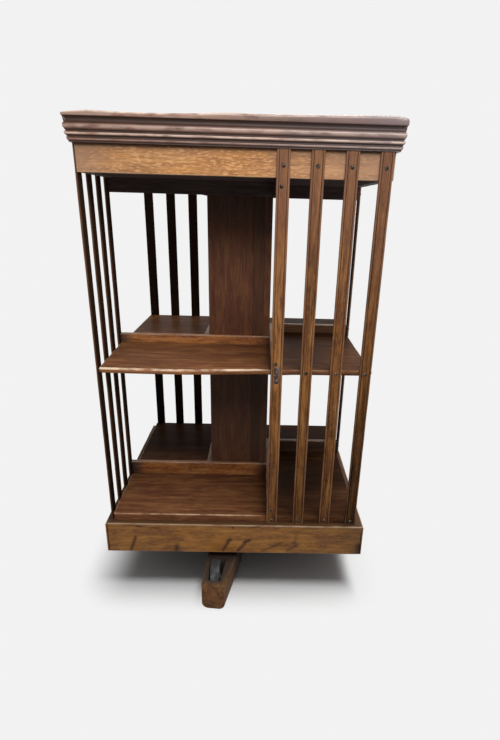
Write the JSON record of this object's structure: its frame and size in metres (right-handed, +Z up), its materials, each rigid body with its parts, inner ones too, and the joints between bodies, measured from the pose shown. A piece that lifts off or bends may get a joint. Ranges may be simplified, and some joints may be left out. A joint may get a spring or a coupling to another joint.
{
  "type": "revolving bookcase",
  "caption": "Floor-standing square two-tier revolving bookcase: slatted case with a box column that turns on a post over a cross base with inset wheels.",
  "frame": {"origin": "on the turning axis, at floor level", "axes": "+Z up along the turning axis; the front faces -Y, +X is to its right"},
  "size_m": [0.5414, 0.6366, 0.811],
  "materials": {
    "stand_wood": "dark stained oak, worn satin",
    "turned_steel": "dull",
    "wheel_iron": "worn grey",
    "case_wood": "stained oak, satin",
    "slat_wood": "stained oak, satin",
    "shelf_wood": "red-brown, semi-gloss",
    "top_wood": "dark brown, polished",
    "frieze_wood": "flecked oak, satin",
    "column_wood": "dark red-brown, satin",
    "bearing_iron": "black, oiled",
    "screw_brass": "dulled"
  },
  "bodies": {
    "stand": {"cross_beam_lower": "stand_wood", "cross_beam_upper": "stand_wood", "centre_post": "stand_wood", "pivot_pin": "turned_steel", "wheel_pins": "turned_steel"},
    "case": {"base_rail_front": "case_wood", "base_rail_right": "case_wood", "base_rail_back": "case_wood", "base_rail_left": "case_wood", "guide_board": "case_wood", "guide_bush": "bearing_iron", "bottom_shelf": "shelf_wood", "column_board_front": "column_wood", "column_board_right": "column_wood", "column_board_back": "column_wood", "column_board_left": "column_wood", "middle_shelf": "shelf_wood", "book_rail_lower_front": "case_wood", "book_rail_lower_right": "case_wood", "book_rail_lower_back": "case_wood", "book_rail_lower_left": "case_wood", "book_rail_upper_front": "case_wood", "book_rail_upper_right": "case_wood", "book_rail_upper_back": "case_wood", "book_rail_upper_left": "case_wood", "under_shelf_rails": "case_wood", "ceiling_rails": "case_wood", "ceiling_board": "case_wood", "bearing_plate": "bearing_iron", "frieze_rail_front": "frieze_wood", "frieze_rail_right": "frieze_wood", "frieze_rail_back": "frieze_wood", "frieze_rail_left": "frieze_wood", "cornice_front": "top_wood", "cornice_right": "top_wood", "cornice_back": "top_wood", "cornice_left": "top_wood", "top_board": "top_wood", "slat_front_1": "slat_wood", "slat_front_2": "slat_wood", "slat_front_3": "slat_wood", "slat_front_4": "slat_wood", "slat_right_1": "slat_wood", "slat_right_2": "slat_wood", "slat_right_3": "slat_wood", "slat_right_4": "slat_wood", "slat_back_1": "slat_wood", "slat_back_2": "slat_wood", "slat_back_3": "slat_wood", "slat_back_4": "slat_wood", "slat_left_1": "slat_wood", "slat_left_2": "slat_wood", "slat_left_3": "slat_wood", "slat_left_4": "slat_wood", "slat_screws": "screw_brass", "mending_strap": "turned_steel"},
    "wheel_front": {"castor_wheel_front": "wheel_iron"},
    "wheel_right": {"castor_wheel_right": "wheel_iron"},
    "wheel_back": {"castor_wheel_back": "wheel_iron"},
    "wheel_left": {"castor_wheel_left": "wheel_iron"}
  },
  "joints": [
    {"name": "case_turn", "type": "hinge", "parent": "stand", "child": "case", "pos_m": [0, 0, 0], "axis": [0, 0, 1], "continuous": true},
    {"name": "wheel_roll_front", "type": "hinge", "parent": "stand", "child": "wheel_front", "pos_m": [-0.0365, -0.26354, 0.034], "axis": [1, 0, 0], "continuous": true},
    {"name": "wheel_roll_right", "type": "hinge", "parent": "stand", "child": "wheel_right", "pos_m": [0.21587, -0.0309, 0.034], "axis": [0, 1, 0], "continuous": true},
    {"name": "wheel_roll_back", "type": "hinge", "parent": "stand", "child": "wheel_back", "pos_m": [0.0365, 0.26354, 0.034], "axis": [1, 0, 0], "continuous": true},
    {"name": "wheel_roll_left", "type": "hinge", "parent": "stand", "child": "wheel_left", "pos_m": [-0.21587, 0.0309, 0.034], "axis": [0, 1, 0], "continuous": true}
  ]
}
